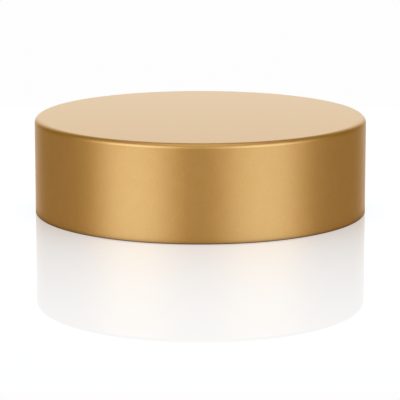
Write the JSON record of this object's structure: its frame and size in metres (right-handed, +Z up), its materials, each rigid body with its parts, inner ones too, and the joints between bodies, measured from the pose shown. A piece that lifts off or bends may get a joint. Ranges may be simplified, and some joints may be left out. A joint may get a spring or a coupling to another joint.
{
  "type": "metal screw cap",
  "caption": "Smooth round metal screw cap with a flat crown, a threaded plastic insert and a foam sealing disc.",
  "frame": {"origin": "centre of the circle that the shell's rim stands on", "axes": "+Z up along the cap's axis, from the open rim to the crown; the thread reaches full depth half way between +X and -Y"},
  "size_m": [0.061, 0.061, 0.0178],
  "materials": {
    "gold_aluminium": "satin",
    "white_polypropylene": "satin",
    "foam_liner": "matte"
  },
  "bodies": {
    "root": {"outer_shell": "gold_aluminium", "threaded_insert": "white_polypropylene", "sealing_disc": "foam_liner"}
  },
  "joints": []
}
